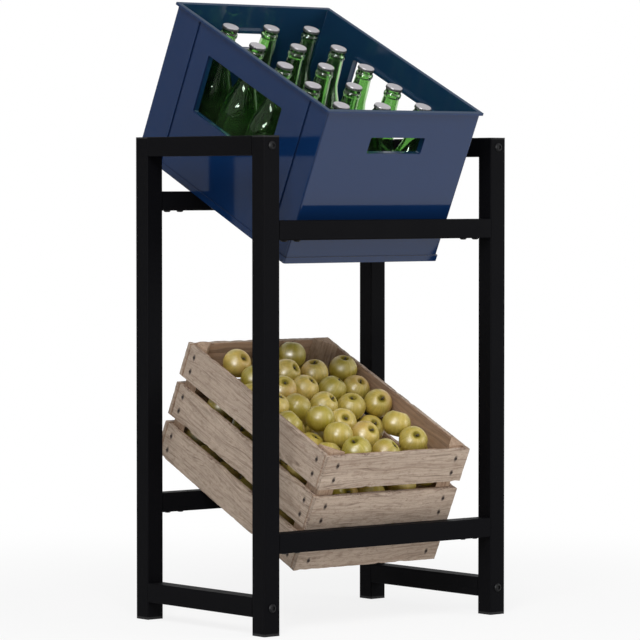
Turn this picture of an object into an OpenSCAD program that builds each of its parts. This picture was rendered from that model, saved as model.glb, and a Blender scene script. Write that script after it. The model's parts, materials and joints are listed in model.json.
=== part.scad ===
// Market crate stand: a bolted square-tube stand that holds two leaning crates,
// a moulded bottle crate on the upper bars and a nailed fruit crate on the lower bars.
// Millimetres, +Z up, +Y to the back. The floor is Z = 0 and the whole outline is centred in X and Y.

/* [Stand] */
// Width of the stand over its legs, left to right
stand_width = 485; // [420:1:600]
// Depth of the stand over its legs, front to back
stand_depth = 320; // [290:1:360]
// Height of the stand from the floor to the top of its legs
stand_height = 750; // [720:1:900]
// Side of the square steel tube
tube_side = 30; // [26:1:36]
// Wall of the square steel tube
tube_wall = 1.5; // [1:0.1:2.5]
// Outside corner radius of the square steel tube
tube_corner = 2; // [1:0.1:4]
// Height of the bottom rails' undersides above the floor
bottom_rail_height = 27.5; // [22:0.5:60]
// Height of the lower front bar's top face above the floor
lower_bar_top = 153; // [140:1:180]
// Height from the lower pair of bars to the upper pair
level_pitch = 470; // [440:1:500]
// How much higher each rear bar stands than its front bar
rear_bar_rise = 43; // [30:1:55]
// Length of the welded stub inside each bar end
stub_length = 60; // [55:1:90]
// Wall of the welded stub
stub_wall = 2.5; // [2:0.1:4]
// Slip between a stub or a plug and the tube around it
slip = 0.2; // [0.1:0.05:0.5]

/* [Caps and feet] */
// Thickness of a leg cap above the tube end
leg_cap_plate = 2.5; // [1.5:0.1:5]
// Depth of a leg cap's plug inside the tube
leg_cap_plug = 7; // [4:0.5:9]
// Thickness of a foot below the tube end
foot_plate = 4; // [2:0.5:8]
// Depth of a foot's plug inside the tube
foot_plug = 14; // [6:0.5:18]
// Wall of the plugs under the caps and over the feet
plug_wall = 2.5; // [1.5:0.1:4]

/* [Fasteners] */
// Shank radius of the bolts that join legs and rails
rail_bolt_radius = 4; // [3:0.1:5]
// Head radius of the bolts that join legs and rails
rail_bolt_head_radius = 6.6; // [6:0.1:8]
// Head height of the bolts that join legs and rails
rail_bolt_head_height = 3.2; // [2:0.1:5]
// Depth to which those bolts reach into a rail
rail_bolt_reach = 20; // [12:1:22]
// Length of the threaded insert in a rail end
rail_insert_length = 26; // [24:1:40]
// Shank radius of the screws that hold a bar on its stubs
bar_screw_radius = 3; // [2:0.1:4]
// Head radius of the screws that hold a bar on its stubs
bar_screw_head_radius = 5.4; // [4.6:0.1:6.5]
// Head height of the screws that hold a bar on its stubs
bar_screw_head_height = 2.4; // [1.6:0.1:4]
// Length of screw that stands out above the stub's lower wall
bar_screw_tail = 4; // [1:0.5:10]
// Distance from a leg to the first screw under a bar
bar_screw_first = 20; // [12:1:24]
// Distance from the first screw under a bar to the second
bar_screw_pitch = 25; // [16:1:28]
// Gap between a shank and the hole it passes through
hole_gap = 0.25; // [0.1:0.05:0.5]
// Gap between a thread and the metal or wood it bites into
thread_gap = 0.05; // [0.02:0.01:0.1]

/* [Lean] */
// Angle at which both crates lean towards the front, in degrees
crate_tilt = 25.2; // [22:0.1:28]
// Clearance between a crate and the bars it leans on
lean_gap = 0.3; // [0.2:0.05:1]
// Sideways place of the bottle crate from the middle of the stand
bottle_crate_shift = -4; // [-20:0.5:20]
// Sideways place of the fruit crate from the middle of the stand
fruit_crate_shift = 5.5; // [-20:0.5:20]

/* [Bottle crate] */
// Width of the crate's body under its lip
bottle_crate_width = 304; // [296:1:330]
// Length of the crate's body under its lip
bottle_crate_length = 408; // [400:1:430]
// Height of the crate
bottle_crate_height = 254; // [252:1:270]
// Thickness of the moulded panels
panel_wall = 4; // [3:0.1:6]
// Thickness of the frames around the openings
frame_wall = 10.5; // [8:0.5:14]
// Width of the frames beside the openings
opening_frame = 5; // [3:0.5:10]
// Radius of the upright corners of the body, the lip and the rim
crate_corner = 3; // [2:0.5:10]
// How far the lip stands out around the top
lip_out = 4; // [2:0.5:8]
// Height of the lip
lip_height = 3.6; // [2:0.2:10]
// How far the rim stands out around the foot
rim_out = 2.2; // [1:0.1:4]
// Height of the rim
rim_height = 10; // [5:0.5:20]
// Height of the floor's underside above the rim's lower edge
floor_lift = 6; // [2:0.5:10]
// Thickness of the floor
floor_thick = 4; // [3:0.5:6]
// Length of the window in each long side
window_length = 200; // [120:1:240]
// Height of the window in each long side
window_height = 95; // [60:1:110]
// Length of the hand hole in each short side
grip_length = 108; // [80:1:130]
// Height of the hand hole in each short side
grip_height = 27; // [22:1:40]
// Drop from the crate's top edge to its windows and hand holes
opening_drop = 44; // [35:1:50]
// Corner radius of the windows and hand holes
opening_corner = 2.5; // [1:0.5:8]
// Width of the upright grooves in the long sides
groove_width = 4.6; // [2:0.1:6]
// Depth of the upright grooves in the long sides
groove_depth = 2; // [0.8:0.1:2.4]
// Distance of the front groove from the crate's front
groove_front = 46; // [20:1:80]
// Distance of the rear groove from the crate's back
groove_rear = 63; // [20:1:80]
// Height of the rings that hold the bottles' feet
ring_height = 14; // [6:1:30]
// Wall of the rings that hold the bottles' feet
ring_wall = 2; // [1.2:0.1:3]
// Gap between a ring and its bottle
ring_gap = 0.6; // [0.3:0.1:2]

/* [Bottles] */
// Bottles across the crate
bottle_columns = 3; // [1:1:3]
// Bottles along the crate
bottle_rows = 5; // [1:1:5]
// Spare room beside the outer columns of bottles
column_margin = 29; // [20:1:34]
// Spare room beyond the end rows of bottles
row_margin = 16.5; // [4:0.5:24]
// Radius of a bottle's body
bottle_radius = 30.5; // [27:0.5:32]
// Height of a bottle without its cap
bottle_height = 229; // [215:1:230]
// Thickness of the glass
glass_wall = 3; // [2:0.1:4]
// Height at which a bottle's shoulder starts
shoulder_height = 116; // [95:1:120]
// Height over which the shoulder closes to the neck
shoulder_rise = 62; // [50:1:70]
// Radius of the neck above the shoulder
neck_radius = 14.5; // [13.5:0.1:16]
// Radius of the mouth under the cap
mouth_radius = 12.3; // [11.5:0.1:13]
// Radius of the bead ring below the mouth
bead_radius = 14; // [13.2:0.1:15.5]
// Height of the bead ring
bead_height = 6; // [4:0.5:8]
// Height of the mouth above the bead ring
mouth_height = 9; // [7:0.5:12]
// Radius of a bottle cap
cap_radius = 13.6; // [13.2:0.1:15]
// Thickness of a bottle cap's top
cap_top = 1; // [0.6:0.1:2]
// Depth of a bottle cap's skirt
cap_skirt = 4; // [2:0.5:6]
// Gap between a bottle cap's skirt and the mouth
cap_gap = 0.15; // [0.05:0.05:0.3]

/* [Fruit crate] */
// Width of the crate over its slats
fruit_crate_width = 286; // [270:1:310]
// Length of the crate over its slats
fruit_crate_length = 383; // [360:1:410]
// Height of a slat
slat_height = 57.6; // [50:0.1:60]
// Gap between one slat and the next
slat_gap = 12.4; // [8:0.1:20]
// Thickness of a slat
slat_thick = 9; // [7:0.5:11]
// Length of a corner post's two square faces
post_leg = 30; // [28:0.5:40]
// How far the corner posts stand above the slats
post_rise = 2.5; // [1:0.5:8]
// Width of the blunted edge along a corner post's outer corner
post_blunt = 1.5; // [0.5:0.1:3]
// Thickness of a bottom board
board_thick = 9; // [7:0.5:12]
// Number of bottom boards
board_count = 4; // [3:1:6]
// Gap between bottom boards
board_gap = 8; // [4:0.5:12]
// Height of the cleats that the bottom boards are nailed to
cleat_height = 12; // [10:0.5:16]
// Width of the cleats that the bottom boards are nailed to
cleat_width = 20; // [16:0.5:24]

/* [Nails] */
// Shank radius of a nail
nail_radius = 1.2; // [0.8:0.1:1.5]
// Radius of a nail's head
nail_head_radius = 2.3; // [1.8:0.1:3]
// Height of a nail's head
nail_head_height = 0.7; // [0.4:0.1:1.5]
// Length of a nail's shank
nail_length = 19; // [14:0.5:19.5]
// Distance from a slat's end to its nails
nail_inset = 24; // [22:0.5:26]
// Distance of each nail from the middle of its slat
nail_spread = 12.3; // [8:0.1:16]

/* [Apples] */
// Radius of an apple
apple_radius = 23.4; // [21:0.1:26]
// Gap left between apples that touch
apple_gap = 0.1; // [0.05:0.01:0.3]
// How far the apples lie off an even layout
apple_scatter = 5; // [0:0.5:8]
// How far the heap may stand above the slats at the front
heap_rise = 20; // [0:1:25]
// How much lower the heap is at the rear than at the front
heap_drop = 6; // [0:1:40]
// Radius of an apple's stem
stem_radius = 1.2; // [0.8:0.1:2]

/* [Hidden] */
$fn = 64;

// Colours of the views
coat_black = [0.09, 0.09, 0.1];
screw_black = [0.16, 0.16, 0.17];
cap_black = [0.05, 0.05, 0.05];
crate_blue = [0.2, 0.26, 0.42];
glass_green = [0.1, 0.32, 0.12];
cap_grey = [0.72, 0.7, 0.71];
slat_wood = [0.66, 0.58, 0.5];
post_wood = [0.7, 0.58, 0.47];
board_wood = [0.5, 0.37, 0.27];
nail_grey = [0.2, 0.18, 0.17];
apple_green = [0.68, 0.64, 0.2];

// Every cutter runs past the surface it cuts by this much
overrun = 1;
// A button head's rim, its flat top and its hexagon socket, as shares of the head
head_rim_share = 0.3;
head_top_share = 0.62;
socket_width_share = 0.55;
socket_depth_share = 0.65;
// Steps of a bottle's shoulder and of an apple's outline
shoulder_steps = 10;
apple_steps = 14;
// A bottle's foot edge, and the top of its neck below the bead, as shares of the glass
foot_edge_share = 1.2;
// Where an apple's two hollows begin, in degrees from its middle, and their depths as shares
stem_hollow_angle = 66;
stem_hollow_share = 0.36;
eye_hollow_angle = 76;
eye_hollow_share = 0.12;
stem_top_share = 0.9;
// Layers of apples that fall anywhere, to fill what the even layers leave open
late_layers = 10;
// The turns of the even scatter, the share of a sine in which it counts, and the apples' tilt in degrees
scatter_turns = [127.1, 311.7];
scatter_share = 0.000268;
apple_tilt = 38;

// Places on the stand, measured from the middle of its own footprint
leg_x = (stand_width - tube_side) / 2;
leg_y = (stand_depth - tube_side) / 2;
tube_inner = tube_side - 2 * tube_wall;
inner_corner = max(tube_corner - tube_wall, tube_wall / 4);
rail_length = stand_depth - 2 * tube_side;
bar_length = stand_width - 2 * tube_side;
top_rail_z = stand_height - tube_side / 2;
bottom_rail_z = bottom_rail_height + tube_side / 2;
upper_bar_top = lower_bar_top + level_pitch;
stub_side = tube_inner - 2 * slip;
stub_corner = tube_corner;
plug_side = tube_inner - 2 * slip;

// Sizes of the crates that follow from the sizes above
shell_inner_corner = max(crate_corner - panel_wall, crate_corner / 5);
opening_top = bottle_crate_height - opening_drop;
column_pitch = (bottle_crate_width - 2 * column_margin) / bottle_columns;
row_pitch = (bottle_crate_length - 2 * row_margin) / bottle_rows;
bottle_floor = floor_lift + floor_thick;
bead_top = bottle_height - mouth_height;
slat_rows = 3;
slat_pitch = slat_height + slat_gap;
fruit_crate_height = slat_rows * slat_height + (slat_rows - 1) * slat_gap;
hold_width = fruit_crate_width - 2 * slat_thick;
hold_length = fruit_crate_length - 2 * slat_thick;
board_width = (hold_width - (board_count - 1) * board_gap) / board_count;

// A crate's front lower edge, worked out from where the crate leans: its front on the front
// bar's rounded rear edge, its underside on the rear bar's rounded front edge
front_edge_y = -stand_depth / 2 + tube_side - tube_corner;
function along_lean(y, z) = y * cos(crate_tilt) + z * sin(crate_tilt);
function across_lean(y, z) = z * cos(crate_tilt) - y * sin(crate_tilt);
function rest_u(top) = along_lean(front_edge_y, top - tube_corner) + tube_corner + lean_gap;
function rest_v(top) = across_lean(-front_edge_y, top + rear_bar_rise - tube_corner) + tube_corner + lean_gap;
function leaned_y(top, u, v) = (rest_u(top) + u) * cos(crate_tilt) - (rest_v(top) + v) * sin(crate_tilt);
function leaned_z(top, u, v) = (rest_u(top) + u) * sin(crate_tilt) + (rest_v(top) + v) * cos(crate_tilt);

// The whole outline, front to back, is centred on the origin
outline_front = min(-stand_depth / 2 - rail_bolt_head_height,
    leaned_y(upper_bar_top, -lip_out, bottle_crate_height),
    leaned_y(lower_bar_top, 0, fruit_crate_height));
outline_back = max(stand_depth / 2 + rail_bolt_head_height,
    leaned_y(upper_bar_top, bottle_crate_length + rim_out, 0),
    leaned_y(lower_bar_top, fruit_crate_length, 0));
depth_shift = -(outline_front + outline_back) / 2;

// Lays out one crate in its own axes: X across, Y up the slope from its front, Z out of its floor
module leaned(top, shift) {
    translate([shift, depth_shift + leaned_y(top, 0, 0), leaned_z(top, 0, 0)])
        rotate([crate_tilt, 0, 0])
            children();
}

module on_stand() {
    translate([0, depth_shift, 0])
        children();
}

module on_upper() {
    leaned(upper_bar_top, bottle_crate_shift)
        children();
}

module on_lower() {
    leaned(lower_bar_top, fruit_crate_shift)
        children();
}

// A rectangle with round corners, made of two strips and four discs
module round_rect(size, corner) {
    square([size[0] - 2 * corner, size[1]], center = true);
    square([size[0], size[1] - 2 * corner], center = true);
    for (x = [-1, 1], y = [-1, 1])
        translate([x * (size[0] / 2 - corner), y * (size[1] / 2 - corner)])
            circle(r = corner);
}

module tube_section() {
    difference() {
        round_rect([tube_side, tube_side], tube_corner);
        round_rect([tube_inner, tube_inner], inner_corner);
    }
}

// A button-head fastener that points up: its head hangs below Z = 0 and has a hexagon socket
module button_head(radius, head_radius, head_height, reach) {
    socket_depth = head_height * socket_depth_share;
    difference() {
        union() {
            translate([0, 0, -head_height])
                rotate_extrude()
                    polygon([[0, 0],
                        [head_radius * head_top_share, 0],
                        [head_radius * (1 + head_top_share) / 2, head_height * (1 - head_rim_share) / 3],
                        [head_radius, head_height * (1 - head_rim_share)],
                        [head_radius, head_height],
                        [0, head_height]]);
            cylinder(r = radius, h = reach);
        }
        translate([0, 0, -head_height - overrun])
            cylinder(r = head_radius * socket_width_share, h = socket_depth + overrun, $fn = 6);
    }
}

// Stand

module leg(side, end) {
    bottom = foot_plate;
    top = stand_height - leg_cap_plate;
    on_stand()
        translate([side * leg_x, end * leg_y, 0])
            difference() {
                translate([0, 0, bottom])
                    linear_extrude(height = top - bottom)
                        tube_section();
                for (z = [bottom_rail_z, top_rail_z])
                    translate([0, 0, z])
                        rotate([90, 0, 0])
                            cylinder(r = rail_bolt_radius + hole_gap, h = tube_side + 2 * overrun, center = true);
            }
}

module leg_front_left() {
    color(coat_black) leg(-1, -1);
}

module leg_front_right() {
    color(coat_black) leg(1, -1);
}

module leg_rear_left() {
    color(coat_black) leg(-1, 1);
}

module leg_rear_right() {
    color(coat_black) leg(1, 1);
}

module rail(side, z) {
    on_stand()
        translate([side * leg_x, rail_length / 2, z])
            rotate([90, 0, 0])
                linear_extrude(height = rail_length)
                    tube_section();
}

module top_rail_left() {
    color(coat_black) rail(-1, top_rail_z);
}

module top_rail_right() {
    color(coat_black) rail(1, top_rail_z);
}

module bottom_rail_left() {
    color(coat_black) rail(-1, bottom_rail_z);
}

module bottom_rail_right() {
    color(coat_black) rail(1, bottom_rail_z);
}

// The middle height of a bar, from its end of the stand and its level's front bar
function bar_z(end, top) = top - tube_side / 2 + (end > 0 ? rear_bar_rise : 0);
function screw_x(number) = bar_length / 2 - bar_screw_first - number * bar_screw_pitch;

module bar(end, top) {
    on_stand()
        translate([0, end * leg_y, bar_z(end, top)])
            difference() {
                translate([-bar_length / 2, 0, 0])
                    rotate([90, 0, 90])
                        linear_extrude(height = bar_length)
                            tube_section();
                for (side = [-1, 1], number = [0, 1])
                    translate([side * screw_x(number), 0, -tube_side / 2 - overrun])
                        cylinder(r = bar_screw_radius + hole_gap, h = tube_wall + 2 * overrun);
            }
}

module upper_front_bar() {
    color(coat_black) bar(-1, upper_bar_top);
}

module upper_rear_bar() {
    color(coat_black) bar(1, upper_bar_top);
}

module lower_front_bar() {
    color(coat_black) bar(-1, lower_bar_top);
}

module lower_rear_bar() {
    color(coat_black) bar(1, lower_bar_top);
}

// Repeats its children at the left end of every bar, and mirrored at the right end
module at_bar_ends() {
    on_stand()
        for (top = [lower_bar_top, upper_bar_top], end = [-1, 1], side = [0, 1])
            translate([0, end * leg_y, bar_z(end, top)])
                mirror([side, 0, 0])
                    children();
}

// A short tube welded on the leg, standing on the inside of the bar's lower wall
module bar_stubs() {
    color(coat_black)
        at_bar_ends()
            translate([-bar_length / 2, 0, -slip])
                difference() {
                    rotate([90, 0, 90])
                        linear_extrude(height = stub_length)
                            difference() {
                                round_rect([stub_side, stub_side], stub_corner);
                                square(stub_side - 2 * stub_wall, center = true);
                            }
                    for (number = [0, 1])
                        translate([bar_length / 2 - screw_x(number), 0, -stub_side / 2 - overrun])
                            cylinder(r = bar_screw_radius + thread_gap, h = stub_wall + 2 * overrun);
                }
}

module bar_screws() {
    color(screw_black)
        at_bar_ends()
            for (number = [0, 1])
                translate([-screw_x(number), 0, -tube_side / 2])
                    button_head(bar_screw_radius, bar_screw_head_radius, bar_screw_head_height,
                        tube_wall + stub_wall + bar_screw_tail);
}

// Repeats its children at the four corners of both rail levels, pointing inwards along a rail
module at_rail_ends() {
    on_stand()
        for (z = [bottom_rail_z, top_rail_z], side = [-1, 1], end = [0, 180])
            translate([side * leg_x, 0, z])
                rotate([0, 0, end])
                    translate([0, -stand_depth / 2, 0])
                        rotate([-90, 0, 0])
                            children();
}

module rail_bolts() {
    color(screw_black)
        at_rail_ends()
            button_head(rail_bolt_radius, rail_bolt_head_radius, rail_bolt_head_height,
                tube_side + rail_bolt_reach);
}

module rail_inserts() {
    color(screw_black)
        at_rail_ends()
            translate([0, 0, tube_side])
                difference() {
                    linear_extrude(height = rail_insert_length)
                        round_rect([tube_inner, tube_inner], tube_corner);
                    translate([0, 0, -overrun])
                        cylinder(r = rail_bolt_radius + thread_gap, h = rail_bolt_reach + hole_gap + overrun);
                }
}

// A square cap that points up: a plate under a hollow plug
module end_cap(plate, plug) {
    linear_extrude(height = plate)
        round_rect([tube_side, tube_side], tube_corner);
    translate([0, 0, plate])
        linear_extrude(height = plug)
            difference() {
                round_rect([plug_side, plug_side], tube_corner);
                square(plug_side - 2 * plug_wall, center = true);
            }
}

module at_legs(z) {
    on_stand()
        for (side = [-1, 1], end = [-1, 1])
            translate([side * leg_x, end * leg_y, z])
                children();
}

module leg_caps() {
    color(cap_black)
        at_legs(stand_height)
            rotate([180, 0, 0])
                end_cap(leg_cap_plate, leg_cap_plug);
}

module foot_caps() {
    color(cap_black)
        at_legs(0)
            end_cap(foot_plate, foot_plug);
}

// Bottle crate

// A band around the crate between two heights, its outside grown or shrunk from the body
module crate_band(grow, bottom, height) {
    translate([0, 0, bottom])
        linear_extrude(height = height)
            difference() {
                round_rect([bottle_crate_width + 2 * grow, bottle_crate_length + 2 * grow], crate_corner);
                round_rect([bottle_crate_width - 2 * panel_wall, bottle_crate_length - 2 * panel_wall],
                    shell_inner_corner);
            }
}

// Repeats its children on both long sides, with X out of the wall and Z up
module on_long_sides() {
    for (turn = [0, 180])
        rotate([0, 0, turn])
            translate([bottle_crate_width / 2, 0, 0])
                children();
}

// Repeats its children on both short sides, with X out of the wall and Z up
module on_short_sides() {
    for (turn = [90, 270])
        rotate([0, 0, turn])
            translate([bottle_crate_length / 2, 0, 0])
                children();
}

// A block through a wall behind one opening, grown by the frame where it is not a cutter
module opening_block(length, height, corner, grow, inner, outer) {
    translate([-inner, 0, opening_top - height / 2])
        rotate([90, 0, 90])
            linear_extrude(height = inner + outer)
                round_rect([length + 2 * grow, height + 2 * grow], corner + grow);
}

module opening_frames() {
    on_long_sides()
        opening_block(window_length, window_height, opening_corner, opening_frame, frame_wall, 0);
    on_short_sides()
        opening_block(grip_length, grip_height, opening_corner, opening_frame, frame_wall, 0);
}

module opening_cuts() {
    on_long_sides()
        opening_block(window_length, window_height, opening_corner, 0, frame_wall + overrun, overrun);
    on_short_sides()
        opening_block(grip_length, grip_height, opening_corner, 0, frame_wall + overrun, overrun);
}

// The upright grooves in both long sides, between the rim and the lip
module groove_cuts() {
    groove_height = bottle_crate_height - lip_height - rim_height;
    for (side = [-1, 1], y = [groove_front, bottle_crate_length - groove_rear])
        translate([side * bottle_crate_width / 2, y - bottle_crate_length / 2, rim_height + groove_height / 2])
            cube([2 * groove_depth, groove_width, groove_height], center = true);
}

module at_bottles() {
    for (column = [0:bottle_columns - 1], row = [0:bottle_rows - 1])
        translate([(column - (bottle_columns - 1) / 2) * column_pitch,
            (row - (bottle_rows - 1) / 2) * row_pitch,
            bottle_floor])
            children();
}

module foot_ring() {
    ring_inner = bottle_radius + ring_gap;
    difference() {
        translate([0, 0, -floor_thick / 2])
            cylinder(r = ring_inner + ring_wall, h = ring_height + floor_thick / 2);
        cylinder(r = ring_inner, h = ring_height + overrun);
    }
}

module bottle_crate() {
    color(crate_blue)
        on_upper()
            translate([0, bottle_crate_length / 2, 0])
                difference() {
                    union() {
                        crate_band(0, 0, bottle_crate_height);
                        crate_band(rim_out, 0, rim_height);
                        crate_band(lip_out, bottle_crate_height - lip_height, lip_height);
                        translate([0, 0, floor_lift])
                            linear_extrude(height = floor_thick)
                                round_rect([bottle_crate_width - panel_wall, bottle_crate_length - panel_wall],
                                    crate_corner);
                        opening_frames();
                        at_bottles() foot_ring();
                    }
                    opening_cuts();
                    groove_cuts();
                }
}

// Bottles

function shoulder_radius(share) = neck_radius + (bottle_radius - neck_radius) * (1 + cos(180 * share)) / 2;
function shoulder_points(wall) = [for (step = [0:shoulder_steps])
    [shoulder_radius(step / shoulder_steps) - wall, shoulder_height + shoulder_rise * step / shoulder_steps]];
foot_edge = glass_wall * foot_edge_share;
bead_slope = bead_radius - mouth_radius;
outer_line = concat([[0, 0], [bottle_radius - foot_edge, 0], [bottle_radius, foot_edge]],
    shoulder_points(0),
    [[mouth_radius, bead_top - bead_height - bead_slope],
        [bead_radius, bead_top - bead_height],
        [bead_radius, bead_top - bead_slope],
        [mouth_radius, bead_top],
        [mouth_radius, bottle_height]]);
inner_line = concat([[0, foot_edge], [bottle_radius - glass_wall, foot_edge + glass_wall]],
    shoulder_points(glass_wall),
    [[mouth_radius - glass_wall, bead_top - bead_height], [mouth_radius - glass_wall, bottle_height]]);

module bottles() {
    color(glass_green)
        on_upper()
            translate([0, bottle_crate_length / 2, 0])
                at_bottles()
                    rotate_extrude()
                        polygon(concat(outer_line, [for (i = [len(inner_line) - 1:-1:0]) inner_line[i]]));
}

module bottle_caps() {
    edge = cap_radius - cap_top / 2;
    skirt_inner = mouth_radius + cap_gap;
    color(cap_grey)
        on_upper()
            translate([0, bottle_crate_length / 2, 0])
                at_bottles()
                    translate([0, 0, bottle_height])
                        rotate_extrude()
                            polygon([[0, 0], [skirt_inner, 0], [skirt_inner, -cap_skirt], [cap_radius, -cap_skirt],
                                [cap_radius, cap_top / 2], [edge, cap_top], [0, cap_top]]);
}

// Fruit crate

slat_half = fruit_crate_width / 2;

// Repeats its children at both nails of one slat end, with the slat's middle at Z = 0
module nail_pair() {
    for (z = [-1, 1])
        translate([0, 0, z * nail_spread])
            children();
}

// Lays out nails along a face: X along the slat, pointing in along +Y from Y = 0
module face_nails(length, grow) {
    for (x = [-1, 1])
        translate([x * (length / 2 - nail_inset), 0, 0])
            nail_pair()
                rotate([-90, 0, 0])
                    nail_shank(grow);
}

module nail_shank(grow) {
    translate([0, 0, -grow * overrun])
        cylinder(r = nail_radius + grow * thread_gap, h = nail_length + grow * (overrun + hole_gap));
}

module nail_head() {
    translate([0, 0, -nail_head_height])
        cylinder(r = nail_head_radius, h = nail_head_height);
}

function slat_middle(row) = row * slat_pitch + slat_height / 2;

// Turns its children onto one face: 0 front, 1 right, 2 rear, 3 left, seen from above
module on_face(face) {
    half = face % 2 == 0 ? fruit_crate_length / 2 : slat_half;
    translate([0, fruit_crate_length / 2, 0])
        rotate([0, 0, face * 90])
            translate([0, -half, 0])
                children();
}

// The end slats run the full width, and the side slats stand between them
function slat_length(face) = face % 2 == 0 ? fruit_crate_width : hold_length;
function nail_line(face) = face % 2 == 0 ? fruit_crate_width : fruit_crate_length;

module slat(face, row) {
    color(slat_wood)
        on_lower()
            on_face(face)
                translate([0, 0, slat_middle(row)])
                    difference() {
                        translate([-slat_length(face) / 2, 0, -slat_height / 2])
                            cube([slat_length(face), slat_thick, slat_height]);
                        face_nails(nail_line(face), 1);
                    }
}

module front_slat_low() {
    slat(0, 0);
}

module front_slat_middle() {
    slat(0, 1);
}

module front_slat_top() {
    slat(0, 2);
}

module right_slat_low() {
    slat(1, 0);
}

module right_slat_middle() {
    slat(1, 1);
}

module right_slat_top() {
    slat(1, 2);
}

module rear_slat_low() {
    slat(2, 0);
}

module rear_slat_middle() {
    slat(2, 1);
}

module rear_slat_top() {
    slat(2, 2);
}

module left_slat_low() {
    slat(3, 0);
}

module left_slat_middle() {
    slat(3, 1);
}

module left_slat_top() {
    slat(3, 2);
}

// All slat nails, used as they are for the nails and grown to bore the posts
module all_slat_nails(grow) {
    for (face = [0:3], row = [0:slat_rows - 1])
        on_face(face)
            translate([0, 0, slat_middle(row)])
                face_nails(nail_line(face), grow);
}

// A three-cornered post that stands on the bottom boards inside one corner
module post(side, end) {
    height = fruit_crate_height + post_rise - board_thick;
    color(post_wood)
        on_lower()
            difference() {
                translate([side * (slat_half - slat_thick), fruit_crate_length / 2 + end * hold_length / 2, board_thick])
                    linear_extrude(height = height)
                        polygon([[0, -end * post_blunt], [0, -end * post_leg], [-side * post_leg, 0],
                            [-side * post_blunt, 0]]);
                all_slat_nails(1);
            }
}

module post_front_left() {
    post(-1, -1);
}

module post_front_right() {
    post(1, -1);
}

module post_rear_left() {
    post(-1, 1);
}

module post_rear_right() {
    post(1, 1);
}

module slat_nails() {
    color(nail_grey)
        on_lower()
            for (face = [0:3], row = [0:slat_rows - 1])
                on_face(face)
                    translate([0, 0, slat_middle(row)])
                        for (x = [-1, 1])
                            translate([x * (nail_line(face) / 2 - nail_inset), 0, 0])
                                nail_pair()
                                    rotate([-90, 0, 0]) {
                                        nail_head();
                                        nail_shank(0);
                                    }
}

// The nails sit in the middle of the boards, and the outer ones no nearer the cleats' ends than half a cleat
cleat_length = hold_width - 2 * post_leg;
function board_nail_x(board) = inside(-hold_width / 2 + board_width / 2 + board * (board_width + board_gap),
    (cleat_length - cleat_width) / 2);

// Repeats its children at both ends of every bottom board, on its underside
module at_board_ends() {
    for (board = [0:board_count - 1], end = [-1, 1])
        translate([board_nail_x(board),
            fruit_crate_length / 2 + end * (hold_length - cleat_width) / 2,
            0])
            children();
}

// The nails under the boards stop inside the cleats
board_nail_length = board_thick + cleat_height * 2 / 3;
// Nail heads under the boards are let in flush, so the crate rests on wood
module board_nail(grow) {
    sink = nail_head_height + grow * thread_gap;
    translate([0, 0, -grow * overrun])
        cylinder(r = nail_head_radius + grow * thread_gap, h = sink + grow * overrun);
    cylinder(r = nail_radius + grow * thread_gap, h = board_nail_length + grow * thread_gap);
}

module bottom_boards() {
    color(board_wood)
        on_lower()
            difference() {
                for (board = [0:board_count - 1])
                    translate([-hold_width / 2 + board * (board_width + board_gap), slat_thick, 0])
                        cube([board_width, hold_length, board_thick]);
                at_board_ends() board_nail(1);
            }
}

// A strip between two posts that ties the bottom boards' ends together
module cleat(end) {
    color(board_wood)
        on_lower()
            difference() {
                translate([-cleat_length / 2,
                    fruit_crate_length / 2 + end * (hold_length - cleat_width) / 2 - cleat_width / 2,
                    board_thick])
                    cube([cleat_length, cleat_width, cleat_height]);
                at_board_ends() board_nail(1);
            }
}

module front_cleat() {
    cleat(-1);
}

module rear_cleat() {
    cleat(1);
}

module board_nails() {
    color(nail_grey)
        on_lower()
            at_board_ends()
                board_nail(0);
}

// Apples

// An even scatter between minus one and one, from an apple's number and a second number
function scatter(i, k) = let(h = sin(i * scatter_turns[0] + k * scatter_turns[1]) / scatter_share)
    2 * (h - floor(h)) - 1;
apple_reach = 2 * apple_radius + apple_gap;
apple_columns = max(2, floor(hold_width / apple_reach));
apple_rows = max(2, floor(hold_length / apple_reach));
apple_x_pitch = (hold_width - apple_reach) / (apple_columns - 1);
apple_y_pitch = (hold_length - apple_reach) / (apple_rows - 1);
even_layers = floor(fruit_crate_height / apple_radius);

// Keeps a spot inside the slats, and clear of the posts across the corners
function inside(value, half) = min(max(value, -half), half);
function off_corner(x, y) = let(a = hold_width / 2 - abs(x), b = hold_length / 2 - abs(y),
    push = max(0, apple_radius + apple_gap - (a + b - post_leg) / sqrt(2)) / sqrt(2))
    [x - sign(x) * push, y - sign(y) * push];
function spot(i, layer, column, row) = let(stray = layer < even_layers ? apple_scatter : apple_radius) off_corner(
    inside((column - (apple_columns - 1 - layer % 2) / 2) * apple_x_pitch + scatter(i, 1) * stray,
        (hold_width - apple_reach) / 2),
    inside((row - (apple_rows - 1 - layer % 2) / 2) * apple_y_pitch + scatter(i, 2) * stray,
        (hold_length - apple_reach) / 2));
all_spots = [for (layer = [0:even_layers + late_layers - 1], column = [0:apple_columns - 1 - layer % 2],
    row = [0:apple_rows - 1 - layer % 2])
    spot((layer * apple_columns + column) * apple_rows + row, layer, column, row)];

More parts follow.
